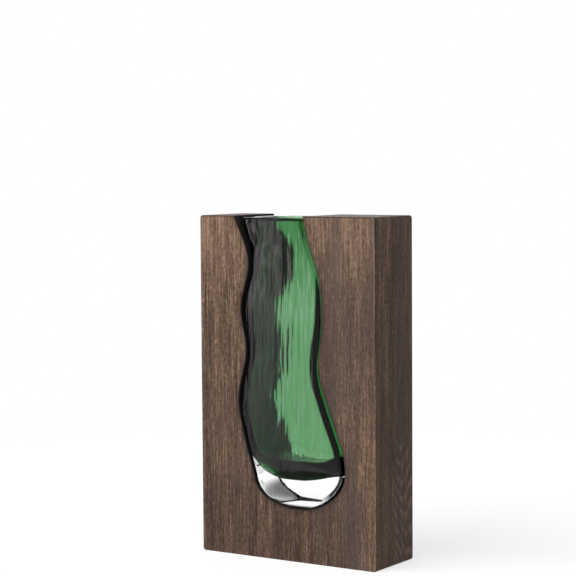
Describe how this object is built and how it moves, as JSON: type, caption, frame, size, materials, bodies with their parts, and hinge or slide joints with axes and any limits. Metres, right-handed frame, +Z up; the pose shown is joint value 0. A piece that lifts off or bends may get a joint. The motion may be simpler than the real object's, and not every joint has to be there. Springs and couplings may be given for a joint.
{
  "type": "wooden vase with glass liner",
  "caption": "Upright dark wood block with a winding slot sawn through it and open at the top, holding a blown green glass liner with a thick clear foot that takes a cut stem.",
  "frame": {"origin": "middle of the wood block's underside, which stands on the table", "axes": "+Z up along the block's height; +X to the right and -Y towards the viewer, seen from the front; the slot runs through along Y"},
  "size_m": [0.12, 0.043, 0.2],
  "materials": {
    "smoked_wood": "planed and oiled, smoked to a grey brown, with charred slot walls",
    "green_glass": "blown, fire polished",
    "clear_glass": "blown, fire polished"
  },
  "bodies": {
    "block": {"wood_block": "smoked_wood"},
    "liner": {"green_glass_vessel": "green_glass", "clear_glass_foot": "clear_glass"}
  },
  "joints": [
    {"name": "liner_slide", "type": "slide", "parent": "block", "child": "liner", "axis": [0, -1, 0], "range_m": [-0.045, 0.045]}
  ]
}
